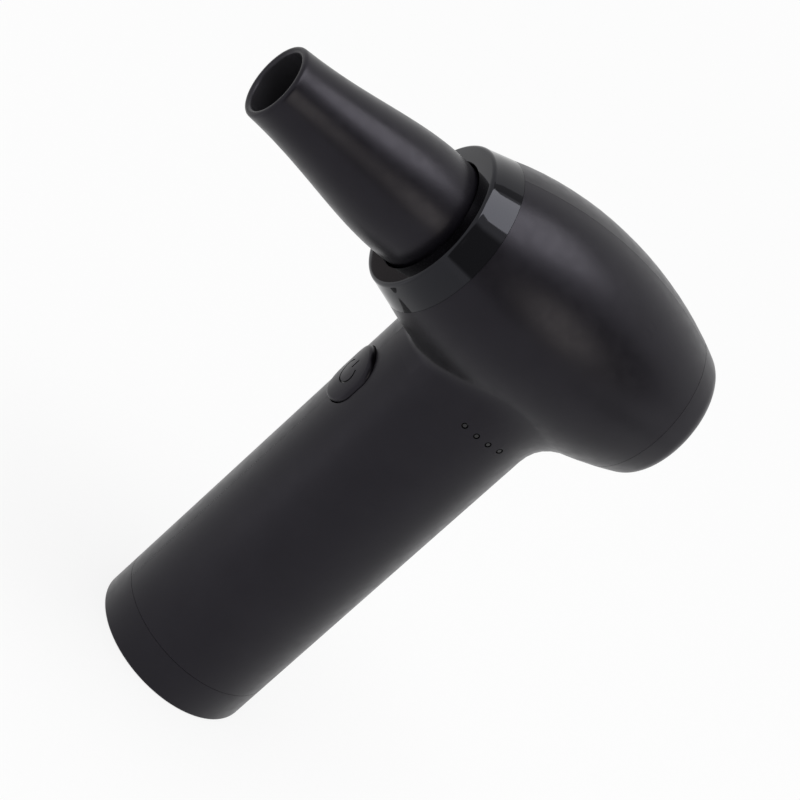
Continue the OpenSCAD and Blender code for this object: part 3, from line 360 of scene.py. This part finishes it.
def true_round(material):
    """Shades the handle's wall as the round it is, however its long flat facets are cut."""
    nodes, links = material.node_tree.nodes, material.node_tree.links
    place = nodes["Texture Coordinate"].outputs["Object"]
    flat = nodes.new("ShaderNodeVectorMath")
    flat.operation = "MULTIPLY"
    flat.inputs[1].default_value = (1, 1, 0)
    links.new(place, flat.inputs[0])
    radius = nodes.new("ShaderNodeVectorMath")
    radius.operation = "LENGTH"
    links.new(flat.outputs["Vector"], radius.inputs[0])
    near_wall = nodes.new("ShaderNodeMath")
    near_wall.operation = "COMPARE"
    near_wall.inputs[1].default_value = handle_r
    near_wall.inputs[2].default_value = on_handle
    links.new(radius.outputs["Value"], near_wall.inputs[0])
    height = nodes.new("ShaderNodeSeparateXYZ")
    links.new(place, height.inputs["Vector"])
    below = nodes.new("ShaderNodeMath")
    below.operation = "LESS_THAN"
    below.inputs[1].default_value = handle_top
    links.new(height.outputs["Z"], below.inputs[0])
    both = nodes.new("ShaderNodeMath")
    both.operation = "MULTIPLY"
    links.new(near_wall.outputs[0], both.inputs[0])
    links.new(below.outputs[0], both.inputs[1])
    normal = nodes.new("ShaderNodeMix")
    normal.data_type = "VECTOR"
    links.new(both.outputs[0], normal.inputs["Factor"])
    links.new(nodes.new("ShaderNodeNewGeometry").outputs["Normal"], normal.inputs[4])
    outward = nodes.new("ShaderNodeVectorMath")
    outward.operation = "NORMALIZE"
    links.new(flat.outputs["Vector"], outward.inputs[0])
    links.new(outward.outputs["Vector"], normal.inputs[5])
    links.new(normal.outputs[1], nodes["Bump"].inputs["Normal"])
    return material


shell_black = true_round(moulded("shell_black", **black_look))
finish("left_shell", shell_black)
finish("right_shell", shell_black)
finish("housing_screws", steel)

# ---------------------------------------------------------------- charge indicators
# Four clear light pipes, dark while they are off. Each ends in a thin tip that stands alone in its
# hole, just under the face of the left half.

lens_smoke = moulded(
    "lens_smoke",
    dark=(0.006, 0.006, 0.007), light=(0.01, 0.01, 0.0115), rough=(0.16, 0.26), gloss=0.4
)
finish("indicator_lenses", lens_smoke)

# ---------------------------------------------------------------- collar ring
# A trim ring in piano-black acrylic, polished in the tool. It shows its surroundings sharply, with
# only the faintest waviness from the moulding.

wave_size = 14 * mm
wave_depth = 0.02 * mm
polish_patch = 4 * mm
polish_rough = (0.03, 0.07)
gloss_black, nodes, links, shader, place = start_material("gloss_black")
shader.inputs["Specular IOR Level"].default_value = 0.32
shader.inputs["Specular Tint"].default_value = (0.87, 0.88, 1, 1)
wave = noise(nodes, links, place, wave_size, 1)
wave_colour = shades(
    nodes, links, wave, dark=(0.0016, 0.0015, 0.0018), light=(0.0024, 0.00225, 0.0027)
)
links.new(wave_colour, shader.inputs["Base Color"])
patch = noise(nodes, links, place, polish_patch)
links.new(spread(nodes, links, patch, *polish_rough), shader.inputs["Roughness"])
rough_surface(nodes, links, shader, wave, wave_depth)
finish("collar_ring", gloss_black)

# ---------------------------------------------------------------- intake and base
# The rear cover snaps over the fan's intake and traps a pad of open foam behind its grille. The
# base cap plugs the foot of the handle and carries the charging board.

filter_foam = moulded(
    "filter_foam",
    dark=(0.006, 0.006, 0.007), light=(0.035, 0.035, 0.038), rough=(0.75, 0.95),
    grain=0.9 * mm, depth=0.4 * mm
)
finish("rear_cover", soft_black)
finish("intake_filter", filter_foam)
finish("base_cap", soft_black)

# ---------------------------------------------------------------- nozzle
# One round moulding in the housing's black, pushed into the socket against a silicone ring that
# sits in a groove of its plug. The bore's colour is painted paler, as painted light in the deep
# bore.

# Painted light: the bore is coloured paler than the black, for light that barely reaches it.
bore_painted_light = (0.029, 0.0283, 0.0315)
bore_r = 8.9 * mm
far = 1000
fan_axis_z = 140 * mm
fan_axis_tilt = math.radians(5.5)


def oval(nodes, links, place, centre, turn, reach, edge):
    """One inside an oval, falling to nothing between the edge's share of its reach and its rim."""
    local = nodes.new("ShaderNodeMapping")
    local.vector_type = "TEXTURE"
    for socket, numbers in (("Location", centre), ("Rotation", turn), ("Scale", reach)):
        local.inputs[socket].default_value = numbers
    links.new(place, local.inputs["Vector"])
    distance = nodes.new("ShaderNodeVectorMath")
    distance.operation = "LENGTH"
    links.new(local.outputs["Vector"], distance.inputs[0])
    fade = nodes.new("ShaderNodeMapRange")
    fade.interpolation_type = "SMOOTHSTEP"
    for socket, number in (("From Min", edge), ("From Max", 1), ("To Min", 1), ("To Max", 0)):
        fade.inputs[socket].default_value = number
    links.new(distance.outputs["Value"], fade.inputs["Value"])
    return fade.outputs["Result"]


def blend(nodes, links, share, colour, other):
    """The colour where the share is nothing, the other where it is one. Either may be a socket."""
    mix = nodes.new("ShaderNodeMix")
    mix.data_type = "RGBA"
    links.new(share, mix.inputs["Factor"])
    for socket, value in ((mix.inputs[6], colour), (mix.inputs[7], other)):
        if isinstance(value, tuple):
            socket.default_value = (*value, 1)
        else:
            links.new(value, socket)
    return mix.outputs[2]


nozzle_black = moulded("nozzle_black", **black_look)
nodes, links = nozzle_black.node_tree.nodes, nozzle_black.node_tree.links
# Share of the nozzle where the paler painted light of the bore replaces its black.
bore_light_share = oval(
    nodes,
    links,
    nodes["Texture Coordinate"].outputs["Object"],
    centre=(0, 0, fan_axis_z),
    turn=(0, fan_axis_tilt - math.pi / 2, 0),
    reach=(bore_r, bore_r, far),
    edge=0.95,
)
nozzle_colour = nodes["Principled BSDF"].inputs["Base Color"]
outside_colour = nozzle_colour.links[0].from_socket
links.new(blend(nodes, links, bore_light_share, outside_colour, bore_painted_light), nozzle_colour)
finish("nozzle", nozzle_black)
finish("nozzle_seal", rubber)

# ---------------------------------------------------------------- floor
# A wide sheet of white paper. It is lifted to white where it is seen or mirrored, fully in the
# distance and partly near the blower, so that the soft shadow stays. Four patches are painted on it
# for mirrored rays only, as painted reflections: a glow brighter than white at the nozzle's end as
# painted light, and two grey ones and a dark one behind as painted shade.

floor_size = 12
lift_seen, lift_mirrored = 0.85, 0.6
shadow_reach = 1.2
fibre_size = 2 * mm
fibre_rough = (0.8, 0.95)
paper, nodes, links, shader, place = start_material("paper")
shader.inputs["Specular IOR Level"].default_value = 0.1
fibre = noise(nodes, links, place, fibre_size)
paper_white = shades(nodes, links, fibre, dark=(0.94, 0.94, 0.94), light=(0.96, 0.96, 0.96))
links.new(paper_white, shader.inputs["Base Color"])
links.new(spread(nodes, links, fibre, *fibre_rough), shader.inputs["Roughness"])


def calculate(nodes, links, operation, first, second):
    """Result of one calculation on two sockets."""
    step = nodes.new("ShaderNodeMath")
    step.operation = operation
    links.new(first, step.inputs[0])
    links.new(second, step.inputs[1])
    return step.outputs[0]


def between(nodes, links, share, low, high):
    """The low number where the share is nothing, the high one where it is one."""
    scale = nodes.new("ShaderNodeMapRange")
    for socket, value in ((scale.inputs["To Min"], low), (scale.inputs["To Max"], high)):
        if isinstance(value, (int, float)):
            socket.default_value = value
        else:
            links.new(value, socket)
    links.new(share, scale.inputs["Value"])
    return scale.outputs["Result"]


def mirrored_rays(nodes, links):
    """One for rays that mirror or pass through something."""
    path = nodes.new("ShaderNodeLightPath").outputs
    return calculate(nodes, links, "MAXIMUM", path["Is Glossy Ray"], path["Is Transmission Ray"])


seen = nodes.new("ShaderNodeLightPath").outputs["Is Camera Ray"]
mirrored = mirrored_rays(nodes, links)
near = oval(
    nodes,
    links,
    place,
    centre=(0, 0, 0),
    turn=(0, 0, 0),
    reach=(shadow_reach, shadow_reach, far),
    edge=0.2,
)
lift_near = between(nodes, links, seen, lift_mirrored, lift_seen)
lift = between(nodes, links, near, 1, lift_near)
tone = (1.0, 1.0, 1.0)
# Painted reflections, seen only in mirrored rays: a patch brighter than white as painted light, and
# grey and dark patches as painted shade.
for centre, degrees, reach, painted_patch_tone, edge in (
    ((-0.166, -0.035, 0), 12, (0.22, 0.09, far), (1.5, 1.5, 1.5), 0),
    ((0.17, -0.06, 0), -20, (0.22, 0.11, far), (0.72, 0.72, 0.72), 0),
    ((0.62, -0.5, 0), -39, (0.55, 0.32, far), (0.5, 0.5, 0.5), 0.3),
    ((-0.227, 0.298, 0), 32, (0.045, 0.1, far), (0.24, 0.22, 0.22), 0.8),
):
    on_painted_patch = oval(nodes, links, place, centre, (0, 0, math.radians(degrees)), reach, edge)
    painted_patch = calculate(nodes, links, "MULTIPLY", on_painted_patch, mirrored)
    lift = calculate(nodes, links, "MAXIMUM", lift, painted_patch)
    tone = blend(nodes, links, painted_patch, tone, painted_patch_tone)
lifted_rays = calculate(nodes, links, "MAXIMUM", seen, mirrored)
share = calculate(nodes, links, "MULTIPLY", lift, lifted_rays)
white = nodes.new("ShaderNodeEmission")
links.new(tone, white.inputs["Color"])
sheet = nodes.new("ShaderNodeMixShader")
links.new(share, sheet.inputs["Fac"])
links.new(shader.outputs["BSDF"], sheet.inputs[1])
links.new(white.outputs["Emission"], sheet.inputs[2])
links.new(sheet.outputs["Shader"], nodes["Material Output"].inputs["Surface"])
clear_selection()
bpy.ops.mesh.primitive_plane_add(size=floor_size, location=(0, 0, 0))
floor = bpy.context.object
floor.name = "floor"
floor.data.materials.append(paper)

# ---------------------------------------------------------------- light
# A white studio with one large soft box overhead. What the blower mirrors of the room is white but
# for a dim front corner with a faint warm glow in it, and a dark gap behind the soft box.

room_glow = 0.5
box_azimuth, box_elevation, box_distance = 30, 83.6, 1.2
box_width, box_height = 0.95, 0.66
box_radiance = 4.15
world = bpy.data.worlds.new("white_room")
world.use_nodes = True
bpy.context.scene.world = world
nodes, links = world.node_tree.nodes, world.node_tree.links


def toward(azimuth, elevation):
    """Unit vector at an angle round the blower from its left side, and an angle above the floor."""
    across, up = math.radians(azimuth), math.radians(elevation)
    return Vector((math.sin(across) * math.cos(up), -math.cos(across) * math.cos(up), math.sin(up)))


way = nodes.new("ShaderNodeTexCoord").outputs["Generated"]
mirrored_colour = (1.0, 1.0, 1.0)
for azimuth, elevation, reach, colour, edge in (
    (13, 24, (0.98, 1, 0.48), (0.28, 0.28, 0.28), 0.8),
    (24, 20, (0.31, 1, 0.36), (2.7, 2.6, 2.25), 0.5),
    (151, 64.5, (0.2, 0.09, 1), (0.45, 0.45, 0.45), 0.9),
):
    turn = (0, 0, math.radians(azimuth))
    patch = oval(nodes, links, way, toward(azimuth, elevation), turn, reach, edge)
    mirrored_colour = blend(nodes, links, patch, mirrored_colour, colour)
plain = nodes["Background"]
plain.inputs["Color"].default_value = (1, 1, 1, 1)
camera_rays = nodes.new("ShaderNodeLightPath").outputs["Is Camera Ray"]
links.new(between(nodes, links, camera_rays, room_glow, 1), plain.inputs["Strength"])
in_mirror = nodes.new("ShaderNodeBackground")
links.new(mirrored_colour, in_mirror.inputs["Color"])
room = nodes.new("ShaderNodeMixShader")
links.new(mirrored_rays(nodes, links), room.inputs["Fac"])
links.new(plain.outputs["Background"], room.inputs[1])
links.new(in_mirror.outputs["Background"], room.inputs[2])
links.new(room.outputs["Shader"], nodes["World Output"].inputs["Surface"])
aim = Vector((-8.8, 0, 97.3)) * mm
box_way = toward(box_azimuth, box_elevation)
box_lamp = bpy.data.lights.new("overhead", "AREA")
box_lamp.shape = "RECTANGLE"
box_lamp.size, box_lamp.size_y = box_width, box_height
box_lamp.energy = box_radiance * math.pi * box_width * box_height
soft_box = bpy.data.objects.new("overhead", box_lamp)
soft_box.location = aim + box_way * box_distance
soft_box.rotation_mode = "QUATERNION"
soft_box.rotation_quaternion = box_way.to_track_quat("Z", "Y")
bpy.context.scene.collection.objects.link(soft_box)

# ---------------------------------------------------------------- camera
# A long lens from the front left and above, turned on its side so that the handle lies across the
# frame.

camera_way = toward(-27.85, 27.1)
camera_roll = math.radians(47.8)
camera_distance = 1.0658
camera_lens, camera_sensor = 196.4, 36
camera_near, camera_far = 0.05, 50
camera = bpy.data.objects.new("camera", bpy.data.cameras.new("camera"))
camera.data.lens = camera_lens
camera.data.sensor_width = camera_sensor
camera.data.clip_start, camera.data.clip_end = camera_near, camera_far
camera.matrix_world = (
    Matrix.Translation(aim + camera_way * camera_distance)
    @ camera_way.to_track_quat("Z", "Y").to_matrix().to_4x4()
    @ Matrix.Rotation(camera_roll, 4, "Z")
)
bpy.context.scene.collection.objects.link(camera)
bpy.context.scene.camera = camera
bpy.context.scene.view_settings.view_transform = "Standard"
